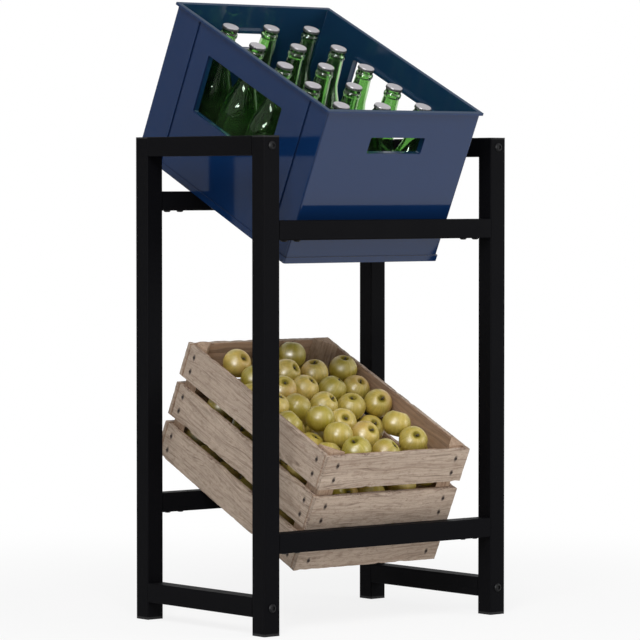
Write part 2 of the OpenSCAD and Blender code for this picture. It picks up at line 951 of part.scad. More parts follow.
// An apple falls straight down onto the cleats, the boards or the apples under it
function lift_over(gap) = gap < apple_reach ? sqrt(apple_reach * apple_reach - gap * gap) : 0;
function over_cleat(y) = let(edge = max(0, hold_length / 2 - cleat_width - abs(y)))
    edge < apple_radius ? cleat_height + sqrt(apple_radius * apple_radius - edge * edge) : apple_radius;
function fall(at, placed) = max(concat([board_thick + max(apple_radius, over_cleat(at[1])) + apple_gap / 2],
    [for (p = placed) let(gap = norm([at[0] - p[0], at[1] - p[1]])) if (gap < apple_reach) p[2] + lift_over(gap)]));
function heap_top(y) = fruit_crate_height + heap_rise - heap_drop * (y / hold_length + 1 / 2);
function keep(placed, at, height) = height + apple_radius > heap_top(at[1]) ? placed
    : concat(placed, [[at[0], at[1], height]]);
function heap(i, placed) = i == len(all_spots) ? placed
    : heap(i + 1, keep(placed, all_spots[i], fall(all_spots[i], placed)));

// A round outline with a deep hollow at the stem and a shallow one at the eye
function hollow(angle, start, depth) = angle > start ? depth * pow((angle - start) / (90 - start), 3) : 0;
function skin(angle) = apple_radius * (1 - hollow(angle, stem_hollow_angle, stem_hollow_share)
    - hollow(-angle, eye_hollow_angle, eye_hollow_share));
apple_line = [for (step = [0:apple_steps]) let(angle = -90 + 180 * step / apple_steps)
    if (step < apple_steps) [skin(angle) * cos(angle), skin(angle) * sin(angle)]];
apple_outline = concat(apple_line, [[stem_radius, skin(90)], [stem_radius, apple_radius * stem_top_share],
    [0, apple_radius * stem_top_share]]);

apple_spots = heap(0, []);
apple_groups = 6;

// One group of apples, counted from the bottom of the heap
module apple_group(group) {
    count = len(apple_spots);
    color(apple_green)
        on_lower()
            translate([0, fruit_crate_length / 2, 0])
                for (i = [0:count - 1])
                    if (floor(i * apple_groups / count) == group)
                        translate(apple_spots[i])
                            rotate([scatter(i, 3) * apple_tilt, scatter(i, 4) * apple_tilt, 0])
                                rotate_extrude()
                                    polygon(apple_outline);
}

module apples_bottom() {
    apple_group(0);
}

module apples_second() {
    apple_group(1);
}

module apples_third() {
    apple_group(2);
}

module apples_fourth() {
    apple_group(3);
}

module apples_fifth() {
    apple_group(4);
}

module apples_top() {
    apple_group(5);
}

leg_front_left();
leg_front_right();
leg_rear_left();
leg_rear_right();
top_rail_left();
top_rail_right();
bottom_rail_left();
bottom_rail_right();
upper_front_bar();
upper_rear_bar();
lower_front_bar();
lower_rear_bar();
bar_stubs();
bar_screws();
rail_inserts();
rail_bolts();
leg_caps();
foot_caps();
bottle_crate();
bottles();
bottle_caps();
post_front_left();
post_front_right();
post_rear_left();
post_rear_right();
front_slat_low();
front_slat_middle();
front_slat_top();
rear_slat_low();
rear_slat_middle();
rear_slat_top();
left_slat_low();
left_slat_middle();
left_slat_top();
right_slat_low();
right_slat_middle();
right_slat_top();
bottom_boards();
front_cleat();
rear_cleat();
slat_nails();
board_nails();
apples_bottom();
apples_second();
apples_third();
apples_fourth();
apples_fifth();
apples_top();
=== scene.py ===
"""Looks of the market crate stand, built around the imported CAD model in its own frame, in metres."""
import json
import math
import random

import bmesh
import bpy
from mathutils import Matrix, Vector, noise


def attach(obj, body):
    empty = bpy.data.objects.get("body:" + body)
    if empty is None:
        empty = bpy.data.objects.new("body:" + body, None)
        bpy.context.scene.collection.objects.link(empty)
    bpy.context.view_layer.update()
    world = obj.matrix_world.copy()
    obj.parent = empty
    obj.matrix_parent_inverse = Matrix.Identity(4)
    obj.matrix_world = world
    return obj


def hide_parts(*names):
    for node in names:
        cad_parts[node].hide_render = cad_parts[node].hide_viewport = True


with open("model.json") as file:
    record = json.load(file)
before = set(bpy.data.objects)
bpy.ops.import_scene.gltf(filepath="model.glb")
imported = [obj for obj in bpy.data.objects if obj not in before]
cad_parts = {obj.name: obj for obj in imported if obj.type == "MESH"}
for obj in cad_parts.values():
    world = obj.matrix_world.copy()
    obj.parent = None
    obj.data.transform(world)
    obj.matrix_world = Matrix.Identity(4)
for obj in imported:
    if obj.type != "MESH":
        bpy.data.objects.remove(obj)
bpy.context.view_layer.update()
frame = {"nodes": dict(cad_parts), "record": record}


# Sizes in millimetres, the same as in the part's source

MM = 0.001

TILT = math.radians(25.2)
TUBE = 30
TUBE_CORNER = 2
STAND_DEPTH = 320
UPPER_BAR_TOP = 623
LOWER_BAR_TOP = 153
REAR_RISE = 43
LEAN_GAP = 0.3

BOTTLE_CRATE_X = -4
CRATE_W = 304
CRATE_L = 408
CRATE_H = 254
LIP_OUT = 4
RIM_OUT = 2.2
BOTTLE_COLUMNS = 3
BOTTLE_ROWS = 5
COLUMN_PITCH = 82
ROW_PITCH = 75
BOTTLE_FLOOR = 10
BOTTLE_H = 229
CAP_SEAT = BOTTLE_FLOOR + BOTTLE_H

FRUIT_CRATE_X = 5.5
FRUIT_W = 286
FRUIT_L = 383
SLAT_ROWS = ("low", "middle", "top")
SLAT_H = 57.6
SLAT_GAP = 12.4
SLAT_T = 9
FRUIT_H = len(SLAT_ROWS) * SLAT_H + (len(SLAT_ROWS) - 1) * SLAT_GAP
HOLD_W = FRUIT_W - 2 * SLAT_T
HOLD_L = FRUIT_L - 2 * SLAT_T
POST_LEG = 30
POST_RISE = 2.5
POST_BLUNT = 1.5
BOARD_T = 9
BOARD_COUNT = 4
BOARD_GAP = 8
BOARD_W = (HOLD_W - (BOARD_COUNT - 1) * BOARD_GAP) / BOARD_COUNT
CLEAT_W = 20
CLEAT_H = 12
NAIL_INSET = 24
NAIL_SPREAD = 12.3

APPLE_R = 23.4
APPLE_GAP = 0.1
APPLE_REACH = 2 * APPLE_R + APPLE_GAP


def leaned(top, along, up):
    """Depth and height of a crate's point, given along and up the crate's own axes. The crate leans on
    the rounded edges of a front bar, whose top is given, and of a higher rear bar."""
    cosine = math.cos(TILT)
    sine = math.sin(TILT)
    edge = -STAND_DEPTH / 2 + TUBE - TUBE_CORNER
    along += edge * cosine + (top - TUBE_CORNER) * sine + TUBE_CORNER + LEAN_GAP
    up += (top + REAR_RISE - TUBE_CORNER) * cosine + edge * sine + TUBE_CORNER + LEAN_GAP
    return along * cosine - up * sine, along * sine + up * cosine


# The origin is at the middle of the whole outline, which is the upper crate's from front to rear
OUTLINE_FRONT = leaned(UPPER_BAR_TOP, -LIP_OUT, CRATE_H)[0]
OUTLINE_REAR = leaned(UPPER_BAR_TOP, CRATE_L + RIM_OUT, 0)[0]
DEPTH_SHIFT = -(OUTLINE_FRONT + OUTLINE_REAR) / 2


def crate_frame(top, sideways):
    """From a crate's own axes to the row frame."""
    depth, height = leaned(top, 0, 0)
    place = Vector((sideways, depth + DEPTH_SHIFT, height)) * MM
    return Matrix.Translation(place) @ Matrix.Rotation(TILT, 4, "X")


UPPER = crate_frame(UPPER_BAR_TOP, BOTTLE_CRATE_X)
LOWER = crate_frame(LOWER_BAR_TOP, FRUIT_CRATE_X)


# Material nodes

SEED_STRIDE = (7.31, 3.17, 5.53)


class Look:
    """A material with short calls for the nodes that feed its shader."""

    def __init__(self, name):
        self.material = bpy.data.materials.new(name)
        self.material.use_nodes = True
        self.tree = self.material.node_tree
        self.shader = self.tree.nodes["Principled BSDF"]

    def add(self, kind, **settings):
        node = self.tree.nodes.new(kind)
        for key, value in settings.items():
            setattr(node, key, value)
        return node

    def feed(self, socket, value):
        """Links a socket to another node's output, or gives it a plain value."""
        if isinstance(value, bpy.types.NodeSocket):
            self.tree.links.new(value, socket)
        elif hasattr(socket.default_value, "__len__") and len(socket.default_value) == 4:
            socket.default_value = (*value[:3], 1)
        else:
            socket.default_value = value

    def set(self, name, value):
        self.feed(self.shader.inputs[name], value)

    def place(self):
        return self.add("ShaderNodeTexCoord").outputs["Object"]

    def attribute(self, name):
        return self.add("ShaderNodeAttribute", attribute_name=name).outputs["Fac"]

    def joined(self, x, y, z):
        node = self.add("ShaderNodeCombineXYZ")
        for socket, value in zip(node.inputs, (x, y, z)):
            self.feed(socket, value)
        return node.outputs[0]

    def axes(self, vector):
        node = self.add("ShaderNodeSeparateXYZ")
        self.feed(node.inputs[0], vector)
        return node.outputs

    def scaled(self, vector, scale):
        node = self.add("ShaderNodeVectorMath", operation="MULTIPLY")
        self.feed(node.inputs[0], vector)
        node.inputs[1].default_value = scale
        return node.outputs[0]

    def shifted(self, vector, amount):
        """The place moved along a slanted line by an amount, so that each seed shows its own pattern."""
        node = self.add("ShaderNodeVectorMath", operation="MULTIPLY_ADD")
        node.inputs[0].default_value = SEED_STRIDE
        self.feed(node.inputs[1], amount)
        self.feed(node.inputs[2], vector)
        return node.outputs[0]

    def turned(self, vector, matrix):
        """The place in the axes of a crate that stands in the row frame by this matrix."""
        back = matrix.inverted()
        node = self.add("ShaderNodeMapping", vector_type="POINT")
        node.inputs["Location"].default_value = back.translation
        node.inputs["Rotation"].default_value = back.to_euler()
        self.feed(node.inputs["Vector"], vector)
        return node.outputs[0]

    def noise(self, vector, scale, detail=4.0, rough=0.5, distortion=0.0):
        """Clouds with this many to a metre."""
        node = self.add("ShaderNodeTexNoise")
        self.feed(node.inputs["Vector"], vector)
        node.inputs["Scale"].default_value = scale
        node.inputs["Detail"].default_value = detail
        node.inputs["Roughness"].default_value = rough
        node.inputs["Distortion"].default_value = distortion
        return node.outputs[0]

    def grain(self, vector, stretch, detail, rough=0.5, distortion=0.0):
        """Noise that is drawn out: the larger a number of the stretch, the finer it is along that axis."""
        return self.noise(self.scaled(vector, stretch), 1, detail, rough, distortion)

    def cells(self, vector, scale):
        node = self.add("ShaderNodeTexVoronoi", feature="F1")
        self.feed(node.inputs["Vector"], vector)
        node.inputs["Scale"].default_value = scale
        return node.outputs["Distance"]

    def reckon(self, operation, a, b=0.0, c=None):
        node = self.add("ShaderNodeMath", operation=operation)
        self.feed(node.inputs[0], a)
        self.feed(node.inputs[1], b)
        if c is not None:
            self.feed(node.inputs[2], c)
        return node.outputs[0]

    def times(self, a, b):
        return self.reckon("MULTIPLY", a, b)

    def minus(self, a, b):
        return self.reckon("SUBTRACT", a, b)

    def size_of(self, value):
        return self.reckon("ABSOLUTE", value)

    def larger(self, a, b):
        return self.reckon("MAXIMUM", a, b)

    def fit(self, value, low, high, to_low=0.0, to_high=1.0):
        """A smooth step of a value between two limits."""
        node = self.add("ShaderNodeMapRange", interpolation_type="SMOOTHSTEP")
        self.feed(node.inputs["Value"], value)
        node.inputs["From Min"].default_value = low
        node.inputs["From Max"].default_value = high
        node.inputs["To Min"].default_value = to_low
        node.inputs["To Max"].default_value = to_high
        return node.outputs[0]

    def mix(self, share, a, b):
        node = self.add("ShaderNodeMix", data_type="RGBA", blend_type="MIX")
        self.feed(node.inputs[0], share)
        self.feed(node.inputs[6], a)
        self.feed(node.inputs[7], b)
        return node.outputs[2]

    def tint(self, colour, mask, strength, other):
        """A colour that turns towards another one where a mask is set."""
        return self.mix(self.times(mask, strength), colour, other)

    def bump(self, height, strength, distance, normal=None):
        """Relief of a height in millimetres, on top of another relief if there is one."""
        node = self.add("ShaderNodeBump")
        node.inputs["Strength"].default_value = strength
        node.inputs["Distance"].default_value = distance * MM
        self.feed(node.inputs["Height"], height)
        if normal is not None:
            self.feed(node.inputs["Normal"], normal)
        return node.outputs[0]


def linear(level):
    """A level as it looks, from 0 to 255, as the linear number that nodes take."""
    v = level / 255
    return v / 12.92 if v <= 0.04045 else ((v + 0.055) / 1.055) ** 2.4


def srgb(red, green, blue):
    return linear(red), linear(green), linear(blue)


def shade(colour, factor):
    return tuple(factor * v for v in colour)


def between(a, b, share):
    return tuple((1 - share) * v + share * w for v, w in zip(a, b))


# Materials of the stand

def powder_coat():
    m = Look("powder_coat")
    here = m.place()
    peel = m.noise(here, 900, detail=3)
    cloud = m.noise(here, 9, detail=3)
    dust = m.fit(m.noise(here, 60, detail=6, rough=0.7), 0.55, 0.8)
    colour = m.mix(cloud, srgb(7, 7, 9), srgb(11, 11, 14))
    uneven = m.reckon("ADD", m.times(peel, 0.4), m.times(cloud, 0.6))
    m.set("Base Color", m.tint(colour, dust, 0.2, srgb(18, 18, 20)))
    m.set("Roughness", m.fit(uneven, 0.3, 0.7, 0.48, 0.62))
    m.set("Specular IOR Level", 0.03)
    m.set("Normal", m.bump(peel, 0.22, 0.4))
    return m.material


def black_plastic():
    m = Look("black_plastic")
    here = m.place()
    fine = m.noise(here, 1500, detail=2)
    m.set("Base Color", m.mix(m.noise(here, 40), srgb(12, 12, 13), srgb(20, 20, 21)))
    m.set("Roughness", m.fit(fine, 0.3, 0.7, 0.5, 0.66))
    m.set("Specular IOR Level", 0.2)
    m.set("Normal", m.bump(fine, 0.3, 0.3))
    return m.material


def black_fastener():
    m = Look("black_fastener")
    here = m.place()
    worn = m.fit(m.noise(here, 420, detail=5, rough=0.65), 0.52, 0.72)
    m.set("Base Color", m.mix(worn, srgb(11, 11, 13), srgb(30, 30, 33)))
    m.set("Metallic", 0.2)
    m.set("Specular IOR Level", 0.2)
    m.set("Roughness", m.fit(worn, 0, 1, 0.5, 0.36))
    m.set("Normal", m.bump(m.noise(here, 1800, detail=2), 0.15, 0.2))
    return m.material


# Materials of the bottle crate and its load

def wall_depth(m, x, y):
    """How far a place lies in from the outside of the bottle crate's nearest wall."""
    middle = CRATE_L / 2 * MM
    from_side = m.minus(CRATE_W / 2 * MM, m.size_of(x))
    from_end = m.minus(middle, m.size_of(m.minus(y, middle)))
    return m.reckon("MINIMUM", from_side, from_end)


def blue_plastic():
    """Glossy outside, other blues inside, in the grooves and on the rim, and dull there and underneath."""
    m = Look("blue_plastic")
    here = m.place()
    cloud = m.noise(here, 5, detail=3)
    scuff = m.fit(m.grain(here, (30, 240, 30), detail=6, rough=0.7), 0.6, 0.85)
    x, y, z = m.axes(m.turned(here, UPPER))
    depth = wall_depth(m, x, y)
    # What lies deeper than the grooves is the inside, and its lowest part is the underside of the floor
    inner = m.fit(depth, 3.3 * MM, 3.8 * MM)
    sunk = m.times(m.fit(depth, 0.3 * MM, 0.7 * MM), m.minus(1.0, inner))
    rim = m.fit(z, (CRATE_H - 0.5) * MM, (CRATE_H - 0.1) * MM)
    under = m.times(inner, m.fit(z, 12 * MM, 16 * MM, 1, 0))
    dull = m.larger(m.larger(sunk, rim), under)
    colour = m.mix(cloud, srgb(11, 40, 80), srgb(15, 45, 87))
    # Painted light: the inside is painted a lighter, tealer blue than the outside
    colour = m.mix(inner, colour, srgb(22, 53, 80))
    # Painted shade: the grooves are painted a darker blue
    colour = m.tint(colour, sunk, 0.6, srgb(6, 20, 46))
    # Painted light: the rim's top is painted a lighter, tealer blue
    colour = m.tint(colour, rim, 0.8, srgb(26, 52, 78))
    m.set("Base Color", m.tint(colour, scuff, 0.15, srgb(58, 76, 104)))
    m.set("Specular IOR Level", m.fit(dull, 0, 1, 0.48, 0.12))
    uneven = m.reckon("ADD", m.times(scuff, 0.6), m.times(cloud, 0.3))
    m.set("Roughness", m.reckon("MULTIPLY_ADD", dull, 0.35, m.fit(uneven, 0.1, 0.7, 0.09, 0.26)))
    wave = m.bump(m.noise(here, 22, detail=2), 0.05, 2)
    m.set("Normal", m.bump(m.noise(here, 1400, detail=2), 0.05, 0.2, wave))
    return m.material


def green_glass():
    """Clear green necks; under them painted shade darkens the glass, which reflects less, and the bodies are
    less clear.
    """
    m = Look("green_glass")
    here = m.place()
    height = m.axes(m.turned(here, UPPER))[2]
    under_neck = m.fit(height, 180 * MM, 200 * MM, 1, 0)
    body = m.fit(height, 105 * MM, 150 * MM, 1, 0)
    clear = m.mix(m.noise(here, 25, detail=3), (0.33, 0.59, 0.25), (0.39, 0.65, 0.30))
    # Painted shade: the glass below the necks, inside the crate, is painted darker green
    m.set("Base Color", m.tint(clear, under_neck, 0.3, (0.16, 0.36, 0.11)))
    m.set("Transmission Weight", m.fit(body, 0, 1, 0.985, 0.955))
    m.set("IOR", 1.5)
    m.set("Specular Tint", m.mix(under_neck, (1, 1, 1), (0.30, 0.34, 0.30)))
    m.set("Roughness", m.fit(m.noise(here, 90, detail=5, rough=0.7), 0.55, 0.85, 0.0, 0.03))
    m.set("Normal", m.bump(m.noise(here, 40, detail=2), 0.02, 2))
    return m.material


def cap_metal():
    """Lacquered grey tops over skirts painted dark green-grey as painted shade."""
    m = Look("cap_metal")
    here = m.place()
    brushed = m.grain(here, (900, 60, 900), detail=4, rough=0.6)
    spots = m.fit(m.noise(here, 160, detail=6, rough=0.7), 0.58, 0.74)
    height = m.axes(m.turned(here, UPPER))[2]
    skirt = m.fit(height, (CAP_SEAT - 1.2) * MM, (CAP_SEAT + 0.2) * MM, 1, 0)
    colour = m.mix(brushed, srgb(154, 151, 155), srgb(184, 181, 185))
    # Painted shade: the skirts are painted dark green-grey under the lit tops
    colour = m.tint(colour, skirt, 0.92, srgb(44, 52, 44))
    m.set("Base Color", m.tint(colour, spots, 0.5, srgb(128, 122, 122)))
    m.set("Metallic", 0.45)
    m.set("Roughness", m.fit(brushed, 0.3, 0.7, 0.3, 0.46))
    m.set("Normal", m.bump(brushed, 0.1, 0.3))
    return m.material


# Materials of the fruit crate and its load

def nail_steel():
    m = Look("nail_steel")
    rust = m.noise(m.place(), 700, detail=5, rough=0.7)
    m.set("Base Color", m.mix(m.fit(rust, 0.4, 0.65), srgb(30, 26, 25), srgb(74, 52, 42)))
    m.set("Metallic", 0.3)
    m.set("Roughness", m.fit(rust, 0.3, 0.7, 0.5, 0.8))
    m.set("Normal", m.bump(rust, 0.5, 0.4))
    return m.material


def nail_stain(m, nail_x):
    """One around the nails of a slat, a pair at each end, drawn out a little across it with uneven rims."""
    x, _, z = m.axes(m.place())
    smear = m.times(m.minus(m.noise(m.place(), 90, detail=3), 0.5), 4 * MM)
    along = m.minus(m.size_of(x), nail_x * MM)
    across = m.times(m.minus(m.size_of(m.reckon("ADD", z, smear)), NAIL_SPREAD * MM), 0.55)
    squares = m.reckon("ADD", m.reckon("POWER", along, 2.0), m.reckon("POWER", across, 2.0))
    return m.fit(m.reckon("SQRT", squares), 1.4 * MM, 4.2 * MM, 1, 0)


def wood(name, pale, dark, inner, nail_x=None):
    """Sawn, weathered wood, its grain along X. Vertices carry a seed, how near an edge is and whether they
    face in. Slats have stains around their nails."""
    m = Look(name)
    here = m.shifted(m.place(), m.attribute("seed"))
    x, y, z = m.axes(here)
    bend = m.grain(here, (5, 30, 30), detail=2)
    bent = m.joined(x, y, m.reckon("MULTIPLY_ADD", bend, 35 * MM, z))
    broad = m.grain(bent, (4, 40, 55), detail=3)
    rings = m.grain(bent, (3.5, 120, 210), detail=5, rough=0.62)
    streaks = m.grain(bent, (13, 240, 360), detail=5, rough=0.68, distortion=0.4)
    fibre = m.grain(bent, (26, 900, 1500), detail=5, rough=0.7)
    blotch = m.noise(here, 16, detail=5, rough=0.6)
    mottle = m.grain(here, (80, 180, 180), detail=4, rough=0.7)
    specks = m.grain(here, (160, 330, 330), detail=5, rough=0.75)
    torn = m.grain(here, (130, 300, 300), detail=5, rough=0.75)
    patchy = m.fit(m.noise(here, 22, detail=3), 0.42, 0.6)
    frayed = m.times(m.reckon("POWER", m.attribute("edge"), 3.0), patchy)
    # Inner faces are fresh, browner wood, partly real and partly painted shade inside the crate
    fresh_and_shaded = m.mix(m.fit(rings, 0.35, 0.65), inner, shade(inner, 0.6))
    # Where each layer of colour shows, how strong it is, and the colour
    layers = [
        (m.fit(rings, 0.5, 0.68), 0.5, dark),
        (m.fit(streaks, 0.5, 0.7), 0.75, shade(dark, 0.66)),
        (m.fit(fibre, 0.45, 0.74), 0.55, shade(dark, 0.5)),
        (m.fit(blotch, 0.52, 0.75), 0.28, shade(pale, 1.16)),
        (m.fit(mottle, 0.48, 0.7), 0.5, dark),
        (m.fit(specks, 0.56, 0.7), 0.5, shade(dark, 0.55)),
        (m.attribute("inside"), 0.75, fresh_and_shaded),
        (m.times(frayed, m.fit(torn, 0.46, 0.6)), 0.8, srgb(84, 56, 44)),
    ]
    if nail_x is not None:
        layers.append((nail_stain(m, nail_x), 0.75, srgb(58, 48, 44)))
    colour = m.mix(m.fit(broad, 0.3, 0.72), pale, between(pale, dark, 0.2))
    for mask, strength, other in layers:
        colour = m.tint(colour, mask, strength, other)
    m.set("Base Color", colour)
    m.set("Roughness", m.fit(fibre, 0.3, 0.7, 0.72, 0.92))
    m.set("Specular IOR Level", 0.3)
    relief = m.bump(streaks, 0.5, 0.9, m.bump(rings, 0.35, 1.6))
    m.set("Normal", m.bump(fibre, 0.5, 0.7, relief))
    return m.material


def apple_skin():
    """Waxy skin. Vertices carry the apple's tone, blush, stem's hollow and where they lie around it."""
    m = Look("apple_skin")
    here = m.place()
    tone = m.attribute("tone")
    stem = m.attribute("stem")
    flesh = m.minus(1.0, stem)
    cloud = m.noise(here, 60, rough=0.6)
    around = m.joined(m.attribute("east"), m.attribute("north"), tone)
    streak = m.grain(around, (6, 6, 40), detail=4, rough=0.65, distortion=0.3)
    dots = m.fit(m.cells(here, 330), 0.10, 0.17, 1, 0)
    russet = m.times(stem, m.fit(m.noise(here, 220, detail=3, rough=0.6), 0.2, 0.7, 0.45, 1))
    flush = m.times(m.attribute("blush"), m.fit(streak, 0.25, 0.7, 0.35, 0.8))
    colour = m.mix(tone, srgb(166, 152, 46), srgb(216, 187, 98))
    colour = m.tint(colour, m.fit(streak, 0.5, 0.72, 0, 0.5), flesh, srgb(224, 204, 132))
    colour = m.tint(colour, m.fit(streak, 0.48, 0.28, 0, 0.5), flesh, srgb(140, 136, 40))
    colour = m.tint(colour, m.fit(cloud, 0.35, 0.7), 0.6, srgb(157, 143, 38))
    colour = m.mix(flush, colour, srgb(188, 134, 86))
    colour = m.tint(colour, dots, 0.55, srgb(222, 208, 140))
    m.set("Base Color", m.mix(russet, colour, srgb(92, 86, 34)))
    m.set("Roughness", m.reckon("MULTIPLY_ADD", stem, 0.5, m.fit(cloud, 0.3, 0.7, 0.32, 0.46)))
    m.set("Specular IOR Level", m.times(m.fit(stem, 0.1, 0.6, 1, 0), 0.85))
    m.set("Normal", m.bump(dots, 0.12, 0.3, m.bump(cloud, 0.10, 2.5)))
    return m.material


def apple_stem():
    m = Look("apple_stem")
    bark = m.noise(m.place(), 900, rough=0.7)
    m.set("Base Color", m.mix(bark, srgb(46, 38, 22), srgb(92, 76, 44)))
    m.set("Roughness", m.fit(bark, 0.3, 0.7, 0.65, 0.85))
    m.set("Normal", m.bump(bark, 0.5, 0.4))
    return m.material


# Pale, dark and inner colour of each wood; the inner one is partly painted shade
SLAT_COLOURS = (srgb(197, 178, 160), srgb(134, 110, 92), srgb(164, 127, 96))
POST_COLOURS = (srgb(194, 168, 144), srgb(146, 112, 88), srgb(168, 136, 108))
BOARD_COLOURS = (srgb(160, 132, 108), srgb(112, 84, 64), srgb(128, 98, 74))
LOOKS = {
    "powder_coat": powder_coat(),
    "black_plastic": black_plastic(),
    "black_fastener": black_fastener(),
    "blue_plastic": blue_plastic(),
    "green_glass": green_glass(),
    "cap_metal": cap_metal(),
    "nail_steel": nail_steel(),
    "end_slat_wood": wood("end_slat_wood", *SLAT_COLOURS, nail_x=FRUIT_W / 2 - NAIL_INSET),
    "side_slat_wood": wood("side_slat_wood", *SLAT_COLOURS, nail_x=FRUIT_L / 2 - NAIL_INSET),
    "post_wood": wood("post_wood", *POST_COLOURS),
    "board_wood": wood("board_wood", *BOARD_COLOURS),
    "apple_skin": apple_skin(),
    "apple_stem": apple_stem(),
}


# Mesh building, in millimetres

ON_AXIS = 1e-6
CLOSE_SHARE = 0.35

replaced_nodes = set()


def link(obj):
    bpy.context.collection.objects.link(obj)
    return obj


def piece(name, verts, faces, looks, body, slot, nodes, matrix=Matrix(), values=None, kinds=None, sharp=40):
    """One object of the scene that rides a body and stands for CAD nodes. Values are numbers for each
    vertex that its materials read, and kinds tell which of its looks each face has."""
    mesh = bpy.data.meshes.new(name)
    mesh.from_pydata([(v[0] * MM, v[1] * MM, v[2] * MM) for v in verts], [], faces)
    shell = bmesh.new()
    shell.from_mesh(mesh)
    bmesh.ops.recalc_face_normals(shell, faces=shell.faces)
    shell.to_mesh(mesh)
    shell.free()
    for look in looks:
        mesh.materials.append(LOOKS[look])
    if kinds:
        mesh.polygons.foreach_set("material_index", kinds)
    for key, numbers in (values or {}).items():
        mesh.attributes.new(name=key, type="FLOAT", domain="POINT").data.foreach_set("value", numbers)
    mesh.shade_smooth()
    mesh.set_sharp_from_angle(angle=math.radians(sharp))
    mesh.update()
    obj = link(bpy.data.objects.new(name, mesh))
    obj.matrix_world = matrix
    bpy.context.view_layer.update()
    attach(obj, body)
    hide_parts(*nodes)
    replaced_nodes.update(nodes)


def at(x, y, z):
    """A shift by millimetres."""
    return Matrix.Translation(Vector((x, y, z)) * MM)


def in_millimetres(matrix):
    """A place in metres as one in millimetres, for lists of vertices."""
    out = matrix.copy()
    out.translation = out.translation / MM
    return out


def lathe(line, segments, wave=None):
    """Turns a line of (radius, height) about Z. Points on the axis become one vertex."""
    verts = []
    rings = []
    for number, (radius, height) in enumerate(line):
        if radius < ON_AXIS:
            rings.append([len(verts)])
            verts.append((0, 0, height))
            continue
        rings.append(list(range(len(verts), len(verts) + segments)))
        for k in range(segments):
            angle = 2 * math.pi * k / segments
            r = radius + (wave(number, angle) if wave else 0)
            verts.append((r * math.cos(angle), r * math.sin(angle), height))
    faces = []
    for a, b in zip(rings, rings[1:]):
        for k in range(segments):
            n = (k + 1) % segments
            if len(a) == 1 and len(b) > 1:
                faces.append((a[0], b[n], b[k]))
            elif len(b) == 1 and len(a) > 1:
                faces.append((a[k], a[n], b[0]))
            elif len(a) > 1:
                faces.append((a[k], a[n], b[n], b[k]))
    return verts, faces


def tube_faces(start, sides, rings):
    """Faces around and at both ends of a tube whose rings of vertices follow each other."""
    faces = [tuple(start + s for s in range(sides))[::-1]]
    faces.append(tuple(start + (rings - 1) * sides + s for s in range(sides)))
    for k in range(rings - 1):
        low = start + k * sides
        for s in range(sides):
            n = (s + 1) % sides
            faces.append((low + s, low + n, low + sides + n, low + sides + s))
    return faces


def repeated(verts, faces, matrices):
    """The same shape at several places, as one list of vertices and one of faces."""
    all_verts = []
    all_faces = []
    for matrix in matrices:
        start = len(all_verts)
        all_verts.extend(tuple(matrix @ Vector(v)) for v in verts)
        all_faces.extend(tuple(i + start for i in face) for face in faces)
    return all_verts, all_faces


def steps(length, pitch, edge):
    """Places along one side of a plank: close together at both ends, even between them."""
    close = edge * CLOSE_SHARE
    count = max(1, round((length - 2 * edge) / pitch))
    middle = [edge + (length - 2 * edge) * i / count for i in range(count + 1)]
    return [0, close] + middle + [length - close, length]


def block(xs, ys, zs):
    """The closed surface of a box that is cut at these places, with shared vertices."""
    verts = []
    faces = []
    index = {}
    last = (len(xs) - 1, len(ys) - 1, len(zs) - 1)

    def vertex(i, j, k):
        if (i, j, k) not in index:
            index[i, j, k] = len(verts)
            verts.append((xs[i], ys[j], zs[k]))
        return index[i, j, k]

    for axis in range(3):
        a = (axis + 1) % 3
        b = (axis + 2) % 3
        for side in (0, last[axis]):
            for i in range(last[a]):
                for j in range(last[b]):
                    corners = []
                    for di, dj in ((0, 0), (1, 0), (1, 1), (0, 1)):
                        place = [0, 0, 0]
                        place[axis], place[a], place[b] = side, i + di, j + dj
                        corners.append(vertex(*place))
                    faces.append(tuple(corners if side else reversed(corners)))
    return verts, faces


# Planks with worn edges

# Pitch of the cuts and width of the edge strips, along, through and across a plank
PLANK_CUTS = ((3.2, 1.2), (2.4, 1.0), (2.6, 1.2))
# Depths and reaches of the wear
RIM_WAVE = 0.45
BITE_DEPTH = 4.5
BITE_REACH = 4.5
BITE_THROUGH = 4
BITE_START = 0.16
BITE_POWER = 1.5
BITE_INWARDS = 0.7
NICK_DEPTH = 0.55
NICK_REACH = 2.2
RAGGED_DEPTH = 1.1
RAGGED_REACH = 5
RELIEF_DEPTH = 0.22
RELIEF_REACH = 0.5
CORNER_PULL = 0.27
ON_SIDE = 0.1
EDGE_WEAR = 5.0
END_FACTOR = 1.5
INSIDE_FROM = 0.75
# How fast each kind of wear changes with the three numbers that it depends on
RIM_PACE = (0.011, 9.0, 0)
BITE_PACE = (0.055, 4.0, 2.3)
NICK_PACE = (0.21, 7.0, 0.1)
RAGGED_PACE = (0.12, 5.0, 0.15)
RELIEF_PACE = (0.02, 0.05, 0.16)
WEAR_STRIDE = (37.1, 11.3, 5.7)
SEED_SHARE = 0.137


def near(distance, reach):
    """One on an edge, falling to nothing at the reach from it."""
    return max(0, 1 - distance / reach)


def inward(value, size):
    """The way from the nearer side towards the middle."""
    return 1 if value < size / 2 else -1


